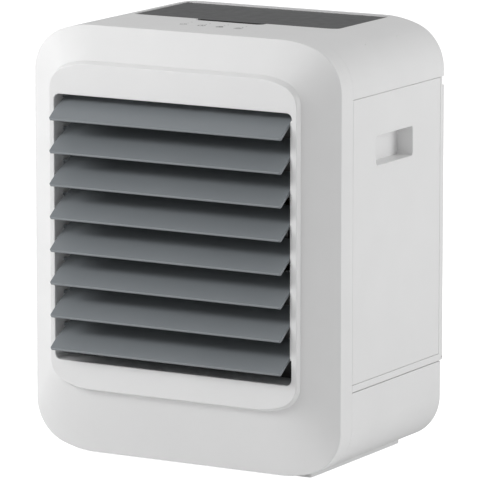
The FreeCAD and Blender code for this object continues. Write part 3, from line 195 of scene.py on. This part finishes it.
class Finish:
    """A Principled material under construction, with helpers for object-space textures."""

    def __init__(self, name):
        self.material = bpy.data.materials.new(name + "_finish")
        self.material.use_nodes = True
        self.tree = self.material.node_tree
        self.shader = self.tree.nodes["Principled BSDF"]
        self.place = self.tree.nodes.new("ShaderNodeTexCoord").outputs["Object"]
        self.height = None

    def set(self, **sockets):
        """Uniform values, straight on the shader's sockets; underscores stand for spaces."""
        for name, value in sockets.items():
            self.shader.inputs[name.replace("_", " ")].default_value = value
        return self

    def stretched(self, stretch):
        mapping = self.tree.nodes.new("ShaderNodeMapping")
        mapping.inputs["Scale"].default_value = stretch
        self.tree.links.new(self.place, mapping.inputs["Vector"])
        return mapping.outputs[0]

    def noise(self, grain, detail=2.0, stretch=(1.0, 1.0, 1.0)):
        """Noise whose features are about grain metres wide."""
        texture = self.tree.nodes.new("ShaderNodeTexNoise")
        texture.inputs["Scale"].default_value = 1.0 / grain
        texture.inputs["Detail"].default_value = detail
        self.tree.links.new(self.stretched(stretch), texture.inputs["Vector"])
        return texture.outputs["Fac"]

    def cells(self, grain):
        texture = self.tree.nodes.new("ShaderNodeTexVoronoi")
        texture.inputs["Scale"].default_value = 1.0 / grain
        self.tree.links.new(self.place, texture.inputs["Vector"])
        return texture.outputs["Distance"]

    def bands(self, pitch, axis="X", distortion=0.0):
        """Parallel ridges across one axis."""
        texture = self.tree.nodes.new("ShaderNodeTexWave")
        texture.wave_type = "BANDS"
        texture.bands_direction = axis
        texture.inputs["Scale"].default_value = math.pi / (10.0 * pitch)
        texture.inputs["Distortion"].default_value = distortion
        self.tree.links.new(self.place, texture.inputs["Vector"])
        return texture.outputs["Fac"]

    def between(self, value, low, high):
        """A value from 0.3..0.7 noise mapped to low..high."""
        node = self.tree.nodes.new("ShaderNodeMapRange")
        node.inputs["From Min"].default_value = 0.3
        node.inputs["From Max"].default_value = 0.7
        node.inputs["To Min"].default_value = low
        node.inputs["To Max"].default_value = high
        self.tree.links.new(value, node.inputs["Value"])
        return node.outputs[0]

    def tint(self, value, low, high):
        """Base colour that wanders between two tones."""
        mix = self.tree.nodes.new("ShaderNodeMix")
        mix.data_type = "RGBA"
        mix.inputs["A"].default_value = tuple(low) + (1.0,)
        mix.inputs["B"].default_value = tuple(high) + (1.0,)
        self.tree.links.new(self.between(value, 0.0, 1.0), mix.inputs["Factor"])
        self.tree.links.new(mix.outputs["Result"], self.shader.inputs["Base Color"])
        return self

    def painted_edge_shade(self, edge, roughness):
        """Painted shade: the lid's sides and its strip beside the finger notch get a near-black
        colour and duller gloss.
        """
        coordinates = self.tree.nodes.new("ShaderNodeTexCoord")
        split = self.tree.nodes.new("ShaderNodeSeparateXYZ")
        self.tree.links.new(coordinates.outputs["Normal"], split.inputs[0])
        unshaded_part = self.product(self.ramp(split.outputs["Z"], 0.5, 0.9), self.beyond_painted_shade())
        tone = self.tree.nodes.new("ShaderNodeMix")
        tone.data_type = "RGBA"
        tone.inputs["A"].default_value = tuple(edge) + (1.0,)
        dullness = self.tree.nodes.new("ShaderNodeMix")
        dullness.inputs["A"].default_value = roughness
        for mix, name in ((tone, "Base Color"), (dullness, "Roughness")):
            socket = self.shader.inputs[name]
            self.tree.links.new(socket.links[0].from_socket, mix.inputs["B"])
            self.tree.links.new(unshaded_part, mix.inputs["Factor"])
            self.tree.links.new(mix.outputs["Result"], socket)
        return self

    def product(self, first, second):
        """Two values multiplied."""
        node = self.tree.nodes.new("ShaderNodeMath")
        node.operation = "MULTIPLY"
        self.tree.links.new(first, node.inputs[0])
        self.tree.links.new(second, node.inputs[1])
        return node.outputs[0]

    def ramp(self, value, start, end):
        """0 at start, 1 at end, straight between."""
        node = self.tree.nodes.new("ShaderNodeMapRange")
        node.inputs["From Min"].default_value = start
        node.inputs["From Max"].default_value = end
        self.tree.links.new(value, node.inputs["Value"])
        return node.outputs[0]

    def beyond_painted_shade(self):
        """0 on the strip of painted shade beside the finger notch, 1 on the rest."""
        split = self.tree.nodes.new("ShaderNodeSeparateXYZ")
        self.tree.links.new(self.place, split.inputs[0])
        aside = self.tree.nodes.new("ShaderNodeMath")
        aside.operation = "ABSOLUTE"
        self.tree.links.new(split.outputs["X"], aside.inputs[0])
        past_side = self.ramp(aside.outputs[0], SHADE_HALF_WIDTH, SHADE_HALF_WIDTH + MM)
        past_back = self.ramp(split.outputs["Y"], SHADE_BACK_Y, SHADE_BACK_Y + 0.6 * MM)
        either = self.tree.nodes.new("ShaderNodeMath")
        either.operation = "MAXIMUM"
        self.tree.links.new(past_side, either.inputs[0])
        self.tree.links.new(past_back, either.inputs[1])
        return either.outputs[0]

    def rough(self, value, low, high):
        self.tree.links.new(self.between(value, low, high), self.shader.inputs["Roughness"])
        return self

    def bump(self, value, depth):
        """Surface relief of about depth metres; calls stack."""
        node = self.tree.nodes.new("ShaderNodeBump")
        node.inputs["Distance"].default_value = depth
        self.tree.links.new(value, node.inputs["Height"])
        if self.height is not None:
            self.tree.links.new(self.height, node.inputs["Normal"])
        self.height = node.outputs[0]
        self.tree.links.new(self.height, self.shader.inputs["Normal"])
        return self


def grey(value):
    return (value, value, value)


def moulded(name, low, high, roughness, grain=0.45 * MM, depth=0.006 * MM):
    """Injection-moulded plastic: spark-eroded skin, slow gloss and tone changes."""
    finish = Finish(name)
    finish.tint(finish.noise(60 * MM, 3.0), low, high)
    finish.rough(finish.noise(9 * MM, 3.0), roughness - 0.03, roughness + 0.04)
    finish.bump(finish.noise(grain, 2.0), depth)
    finish.bump(finish.noise(45 * MM, 1.0), 0.02 * MM)
    return finish


def white_shell():
    return moulded("white_shell", grey(0.85), grey(0.87), 0.42).set(Specular_IOR_Level=0.4)


def white_panel():
    finish = moulded("white_panel", grey(0.85), grey(0.865), 0.36, 0.35 * MM, 0.004 * MM)
    return finish.set(Specular_IOR_Level=0.4)


def louvre_grey():
    finish = moulded("louvre_grey", (0.222, 0.241, 0.256), (0.232, 0.251, 0.266), 0.46,
                     0.4 * MM, 0.008 * MM)
    finish.bump(finish.noise(2.5 * MM, 2.0, (0.12, 1.0, 1.0)), 0.006 * MM)
    return finish.set(Specular_IOR_Level=0.45)


def smoked_lid():
    finish = Finish("smoked_lid")
    finish.tint(finish.noise(60 * MM), (0.086, 0.088, 0.09), (0.09, 0.092, 0.094))
    finish.rough(finish.noise(9 * MM, 3.0), 0.36, 0.42)
    finish.bump(finish.noise(0.3 * MM), 0.002 * MM)
    # painted shade: near-black and rough on the lid's sides and on the strip beside the finger
    # notch
    return finish.painted_edge_shade(grey(0.008), 0.9).set(Specular_IOR_Level=0.4)


def dark_basin():
    return moulded("dark_basin", grey(0.02), grey(0.028), 0.4, 0.6 * MM, 0.01 * MM)


def rubber(name, low, high):
    finish = moulded(name, low, high, 0.72, 0.5 * MM, 0.02 * MM)
    finish.bump(finish.cells(1.2 * MM), 0.015 * MM)
    return finish


def grey_shroud():
    return moulded("grey_shroud", grey(0.035), grey(0.045), 0.5, 0.6 * MM, 0.012 * MM)


def black_wire():
    finish = moulded("black_wire", grey(0.012), grey(0.02), 0.34, 0.8 * MM, 0.02 * MM)
    return finish.set(Coat_Weight=0.3, Coat_Roughness=0.25)


def fan_plastic():
    finish = moulded("fan_plastic", (0.05, 0.053, 0.058), (0.062, 0.066, 0.072), 0.36,
                     0.5 * MM, 0.006 * MM)
    finish.bump(finish.noise(3.0 * MM, 2.0, (1.0, 1.0, 0.2)), 0.01 * MM)
    return finish


def metal(name, low, high, roughness, stretch, depth, spangled=False):
    """Bare metal with drawing or turning marks along one axis, or with zinc's spangle."""
    finish = Finish(name)
    finish.set(Metallic=1.0)
    finish.tint(finish.cells(5 * MM) if spangled else finish.noise(8 * MM, 4.0), low, high)
    finish.rough(finish.noise(1.2 * MM, 3.0, stretch), roughness - 0.08, roughness + 0.1)
    finish.bump(finish.noise(0.5 * MM, 3.0, stretch), depth)
    return finish


def steel():
    return metal("steel", grey(0.52), grey(0.62), 0.3, (1.0, 0.1, 1.0), 0.004 * MM)


def zinc_steel():
    return metal("zinc_steel", (0.5, 0.5, 0.48), (0.63, 0.63, 0.62), 0.42, (1.0, 0.2, 1.0),
                 0.01 * MM, spangled=True)


def bronze():
    finish = metal("bronze", (0.42, 0.25, 0.1), (0.52, 0.32, 0.15), 0.5, (1.0, 1.0, 1.0), 0.02 * MM)
    finish.bump(finish.cells(0.4 * MM), 0.02 * MM)
    return finish


def pad_paper():
    """Wetted cellulose: fibrous, blotchy brown with lighter dry crests."""
    finish = Finish("pad_paper")
    finish.tint(finish.noise(14 * MM, 5.0), (0.36, 0.26, 0.14), (0.55, 0.44, 0.28))
    finish.rough(finish.noise(6 * MM, 3.0), 0.7, 0.9)
    finish.bump(finish.noise(0.5 * MM, 4.0, (1.0, 1.0, 0.2)), 0.08 * MM)
    finish.bump(finish.noise(4.0 * MM, 3.0), 0.1 * MM)
    return finish


def filter_mesh():
    finish = moulded("filter_mesh", grey(0.07), grey(0.1), 0.6, 0.3 * MM, 0.01 * MM)
    return finish.set(Sheen_Weight=0.2)


def silicone():
    finish = moulded("silicone", (0.66, 0.66, 0.62), (0.72, 0.72, 0.69), 0.38, 0.8 * MM, 0.01 * MM)
    return finish.set(Subsurface_Weight=0.25, Subsurface_Scale=2.0 * MM)


def circuit_board():
    """Green solder mask with a faint relief of tracks under it."""
    finish = Finish("circuit_board")
    finish.tint(finish.bands(1.3 * MM, "X", 3.0), (0.012, 0.1, 0.045), (0.022, 0.17, 0.075))
    finish.rough(finish.noise(3 * MM, 2.0), 0.28, 0.42)
    finish.bump(finish.bands(1.3 * MM, "Y", 4.0), 0.03 * MM)
    return finish


def clear_guide():
    finish = Finish("clear_guide")
    finish.tint(finish.noise(4 * MM), grey(0.8), grey(0.88))
    finish.rough(finish.noise(0.5 * MM), 0.05, 0.14)
    finish.bump(finish.noise(0.6 * MM), 0.004 * MM)
    return finish.set(Transmission_Weight=0.8, IOR=1.49)


def black_socket():
    return moulded("black_socket", grey(0.012), grey(0.02), 0.5, 0.5 * MM, 0.02 * MM)


def grey_print():
    return moulded("grey_print", grey(0.2), grey(0.25), 0.6, 0.2 * MM, 0.004 * MM)


def make_finishes():
    finishes = [white_shell(), white_panel(), louvre_grey(), smoked_lid(), dark_basin(),
                rubber("black_rubber", grey(0.015), grey(0.025)),
                rubber("grey_rubber", grey(0.5), grey(0.58)),
                grey_shroud(), black_wire(), fan_plastic(), steel(), zinc_steel(), bronze(),
                pad_paper(), filter_mesh(), silicone(), circuit_board(), clear_guide(),
                black_socket(), grey_print()]
    return {f.material.name.removesuffix("_finish"): f.material for f in finishes}


def dress_nodes(finishes):
    """Every CAD node's slots get the finish that the slot is named after."""
    for node in NODES.values():
        for slot in node.material_slots:
            slot.material = finishes[slot.material.name.split(".")[0]]


# ---- mesh helpers -------------------------------------------------------------------------

def new_piece(name, form, slot, finishes, body, replaced=()):
    """Turns a bmesh into a piece of the object that rides on a body."""
    mesh = bpy.data.meshes.new(name)
    bmesh.ops.recalc_face_normals(form, faces=form.faces)
    form.to_mesh(mesh)
    form.free()
    mesh.materials.append(finishes[slot])
    piece = bpy.data.objects.new(name, mesh)
    bpy.context.scene.collection.objects.link(piece)
    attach(piece, body)
    if replaced:
        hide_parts(*replaced)
    return piece


def add_bar(form, start, end, width, height, up=Vector((0.0, 0.0, 1.0))):
    """A closed rectangular bar between two points."""
    along = (end - start).normalized()
    side = along.cross(up).normalized() * width / 2
    top = side.cross(along).normalized() * height / 2
    ends = []
    for centre in (start, end):
        ends.append([form.verts.new(centre + s * side + t * top)
                     for s, t in ((-1, -1), (1, -1), (1, 1), (-1, 1))])
    form.faces.new(ends[0])
    form.faces.new(ends[1])
    for k in range(4):
        form.faces.new((ends[0][k], ends[0][(k + 1) % 4], ends[1][(k + 1) % 4], ends[1][k]))


def add_box(form, low, high):
    """A closed box from its two extreme corners."""
    plan = ((low[0], low[1]), (high[0], low[1]), (high[0], high[1]), (low[0], high[1]))
    corners = [form.verts.new((x, y, z)) for z in (low[2], high[2]) for x, y in plan]
    form.faces.new(corners[:4])
    form.faces.new(corners[4:])
    for k in range(4):
        form.faces.new((corners[k], corners[(k + 1) % 4], corners[4 + (k + 1) % 4], corners[4 + k]))


# ---- printed key symbols ------------------------------------------------------------------

KEY_XS = (-28.8, -9.6, 9.6, 28.8)
KEY_Y = -32.6
FACE_Z = 398.0
PRINT_RISE = 0.06
STROKE = 0.75
MARK_Y = -17.6


def add_stroke(form, x, y, points):
    """A printed line through points, given in mm from a key's middle."""
    for (x0, y0), (x1, y1) in zip(points, points[1:]):
        start = Vector((x + x0, y + y0, FACE_Z)) * MM
        end = Vector((x + x1, y + y1, FACE_Z)) * MM
        add_bar(form, start, end, STROKE * MM, 2 * PRINT_RISE * MM)


def arc_points(radius, start, end, steps=14, cx=0.0, cy=0.0):
    """Points along an arc about (cx, cy), its ends in degrees."""
    points = []
    for k in range(steps + 1):
        a = math.radians(start + (end - start) * k / steps)
        points.append((cx + radius * math.cos(a), cy + radius * math.sin(a)))
    return points


def make_key_icons(finishes):
    """Plain outline symbols: power, timer, fan speed and swing, with a dot behind each."""
    form = bmesh.new()
    power, timer, fan, swing = KEY_XS
    add_stroke(form, power, KEY_Y, arc_points(3.1, 125, 415))
    add_stroke(form, power, KEY_Y, [(0.0, 1.0), (0.0, 4.0)])
    add_stroke(form, timer, KEY_Y, arc_points(3.3, 0, 360, 18))
    add_stroke(form, timer, KEY_Y, [(0.0, 2.2), (0.0, 0.0), (1.6, -1.0)])
    for turn in range(3):
        a = math.radians(90 + 120 * turn)
        middle = (1.9 * math.cos(a), 1.9 * math.sin(a))
        add_stroke(form, fan, KEY_Y, arc_points(1.7, 0, 360, 12, *middle))
        add_stroke(form, fan, KEY_Y, [(0.0, 0.0), (3.2 * math.cos(a), 3.2 * math.sin(a))])
    for shift in (-2.4, 0.0, 2.4):
        add_stroke(form, swing, KEY_Y + shift, [(-3.4, -0.7), (-1.2, 0.7), (1.2, -0.7), (3.4, 0.7)])
    for x in KEY_XS:
        add_stroke(form, x, MARK_Y, [(-0.6, 0.0), (0.6, 0.0)])
    new_piece("key_icons", form, "grey_print", finishes, "housing")


# ---- drafted edge of the front panel ------------------------------------------------------

# outlines: half width, low, high, side radius, cap radius
PANEL_WALL = (129.02, 66.18, 366.02, 22.02, 80.02)
PANEL_FOOT = (129.85, 64.15, 368.5, 22.85, 80.8)
RIM_Y = -102.3
FOOT_Y = -97.65
CAP_SWEEP = 20.0
SIDE_STEPS = 20
CAP_STEPS = 12


def outline_points(half, low, high, side_radius, cap_radius):
    """The panel's outline: a tight arc off each side, then a wide one off the top or bottom."""
    meet = 90.0 - CAP_SWEEP
    across = side_radius + (cap_radius - side_radius) * math.cos(math.radians(meet))
    up = cap_radius - (cap_radius - side_radius) * math.sin(math.radians(meet))
    points = []
    for turn, flip_x, flip_z in ((0, 1, 1), (90, -1, 1), (180, -1, -1), (270, 1, -1)):
        side = (flip_x * (half - side_radius), high - up if flip_z > 0 else low + up)
        cap = (flip_x * (half - across), high - cap_radius if flip_z > 0 else low + cap_radius)
        if turn in (0, 180):
            points += arc_points(side_radius, turn, turn + meet, SIDE_STEPS, *side)
            points += arc_points(cap_radius, turn + meet, turn + 90, CAP_STEPS, *cap)[1:]
        else:
            points += arc_points(cap_radius, turn, turn + CAP_SWEEP, CAP_STEPS, *cap)
            points += arc_points(side_radius, turn + CAP_SWEEP, turn + 90, SIDE_STEPS, *side)[1:]
    return points


def make_panel_edge(finishes):
    """The raised panel's side slopes out to the bevel, leaving only a hairline joint."""
    form = bmesh.new()
    section = [(PANEL_WALL, RIM_Y), (PANEL_FOOT, FOOT_Y), (PANEL_WALL, FOOT_Y)]
    loops = []
    for outline, y in section:
        loops.append([form.verts.new(Vector((x, y, z)) * MM) for x, z in outline_points(*outline)])
    for here, after in zip(loops, loops[1:] + loops[:1]):
        for k in range(len(here)):
            n = (k + 1) % len(here)
            form.faces.new((here[k], here[n], after[n], after[k]))
    new_piece("panel_edge", form, "white_panel", finishes, "housing")


# ---- honeycomb pad ------------------------------------------------------------------------

PAD_LOW = Vector((-127.6, 72.3, 88.4))
PAD_HIGH = Vector((127.6, 101.7, 333.6))
SHEET_PITCH = 4.9
FLUTE_PITCH = 10.6
FLUTE_DEPTH = 2.2
FLUTE_RISE = 0.55
PAPER = 0.32
FLUTE_STEPS = 4
DEPTH_STEPS = 3


def make_pad(finishes):
    """Corrugated sheets side by side; neighbours' flutes slope opposite ways through the pad."""
    form = bmesh.new()
    count = int((PAD_HIGH.x - PAD_LOW.x - 2 * FLUTE_DEPTH) / SHEET_PITCH) + 1
    rows = int((PAD_HIGH.z - PAD_LOW.z) / FLUTE_PITCH * FLUTE_STEPS)
    margin = (PAD_HIGH.x - PAD_LOW.x - (count - 1) * SHEET_PITCH) / 2
    for sheet in range(count):
        base = PAD_LOW.x + margin + sheet * SHEET_PITCH
        slope = FLUTE_RISE if sheet % 2 else -FLUTE_RISE
        faces = []
        for skin in (-PAPER / 2, PAPER / 2):
            grid = []
            for row in range(rows + 1):
                z = PAD_LOW.z + (PAD_HIGH.z - PAD_LOW.z) * row / rows
                line = []
                for column in range(DEPTH_STEPS + 1):
                    y = PAD_LOW.y + (PAD_HIGH.y - PAD_LOW.y) * column / DEPTH_STEPS
                    wave = math.sin(2 * math.pi * (z + slope * y) / FLUTE_PITCH)
                    x = base + FLUTE_DEPTH * wave + skin
                    line.append(form.verts.new(Vector((x, y, z)) * MM))
                grid.append(line)
            faces.append(grid)
        close_sheet(form, *faces)
    new_piece("honeycomb_pad", form, "pad_paper", finishes, "housing", ("cooling_pad",))


def close_sheet(form, front, back):
    """Faces of a thin sheet from two matching grids of vertices, with its rim."""
    last_row, last_column = len(front) - 1, len(front[0]) - 1
    for grid in (front, back):
        for r in range(last_row):
            for c in range(last_column):
                form.faces.new((grid[r][c], grid[r][c + 1], grid[r + 1][c + 1], grid[r + 1][c]))
    for c in range(last_column):
        for r in (0, last_row):
            form.faces.new((front[r][c], front[r][c + 1], back[r][c + 1], back[r][c]))
    for r in range(last_row):
        for c in (0, last_column):
            form.faces.new((front[r][c], front[r + 1][c], back[r + 1][c], back[r][c]))


# ---- woven dust filter --------------------------------------------------------------------

FILTER_HALF = 131.5
FILTER_LOW = 90.0
FILTER_HIGH = 331.5
FILTER_FRONT_Y = 112.1
FILTER_BACK_Y = 114.5
FILTER_RIM = 4.0
THREAD = 0.4
THREAD_PITCH = 1.9
RIB_HALF_WIDTH = 1.5
NET_SET_BACK = 1.0


def make_filter(finishes):
    """The dust filter as a rim, three ribs and a net of crossed threads."""
    form = bmesh.new()
    half, low, high, rim = FILTER_HALF, FILTER_LOW, FILTER_HIGH, FILTER_RIM
    front, back = FILTER_FRONT_Y, FILTER_BACK_Y
    slabs = [(-half, -half + rim, low, high), (half - rim, half, low, high),
             (-half + rim, half - rim, low, low + rim), (-half + rim, half - rim, high - rim, high)]
    for k in (1, 2, 3):
        x = -half + 2 * half * k / 4
        slabs.append((x - RIB_HALF_WIDTH, x + RIB_HALF_WIDTH, low + rim, high - rim))
    for x0, x1, z0, z1 in slabs:
        add_box(form, Vector((x0, front, z0)) * MM, Vector((x1, back, z1)) * MM)
    net_y = front + NET_SET_BACK
    for k in range(1, int((2 * half - 2 * rim) / THREAD_PITCH)):
        x = -half + rim + k * THREAD_PITCH
        add_box(form, Vector((x - THREAD / 2, net_y - THREAD, low + rim)) * MM,
                Vector((x + THREAD / 2, net_y, high - rim)) * MM)
    for k in range(1, int((high - low - 2 * rim) / THREAD_PITCH)):
        z = low + rim + k * THREAD_PITCH
        add_box(form, Vector((-half + rim, net_y, z - THREAD / 2)) * MM,
                Vector((half - rim, net_y + THREAD, z + THREAD / 2)) * MM)
    new_piece("woven_filter", form, "filter_mesh", finishes, "grille", ("dust_filter",))


def main():
    make_camera()
    make_world()
    make_lights()
    make_floor()
    finishes = make_finishes()
    dress_nodes(finishes)
    make_key_icons(finishes)
    make_panel_edge(finishes)
    make_pad(finishes)
    make_filter(finishes)


main()

bpy.context.scene.view_settings.view_transform = "Standard"
